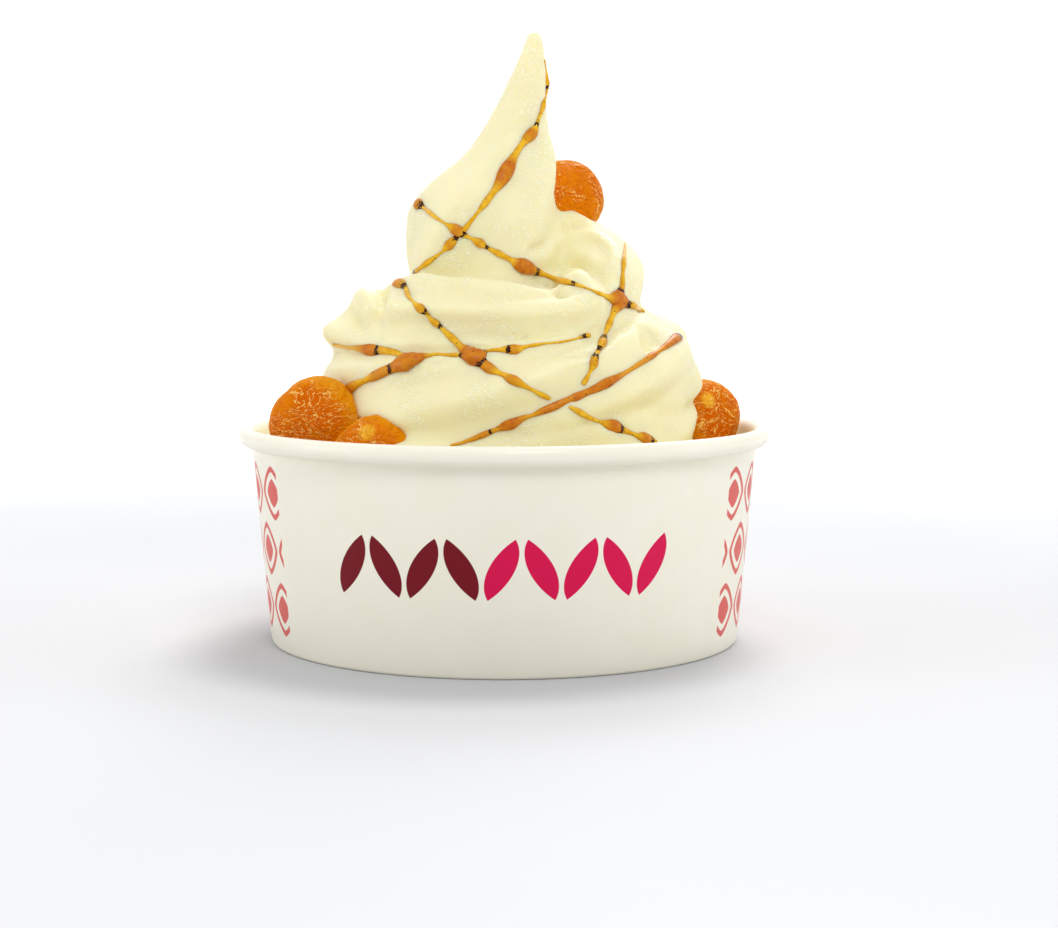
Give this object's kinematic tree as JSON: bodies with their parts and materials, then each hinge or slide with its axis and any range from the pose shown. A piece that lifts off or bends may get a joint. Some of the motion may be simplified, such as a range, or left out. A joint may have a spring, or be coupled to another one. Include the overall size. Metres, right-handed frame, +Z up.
{
  "type": "frozen yogurt cup",
  "caption": "Round paper cup of piped frozen yogurt, swirled up to a leaning peak, with soft whole apricots bedded in it.",
  "frame": {"origin": "centre of the circle that the cup stands on", "axes": "+Z up through the cup, -Y the front of the swirl, +X to the right as seen from the front"},
  "size_m": [0.116, 0.116, 0.132],
  "materials": {
    "cup_board": "coated white board",
    "yogurt": "soft, slightly glossy frozen cream",
    "apricot": "wet, wrinkled fruit skin",
    "syrup": "clear amber syrup"
  },
  "bodies": {
    "root": {"cup_sleeve": "cup_board", "cup_disc": "cup_board", "yogurt": "yogurt", "apricot_left": "apricot", "apricot_front": "apricot", "apricot_right": "apricot", "apricot_top": "apricot"}
  },
  "joints": []
}
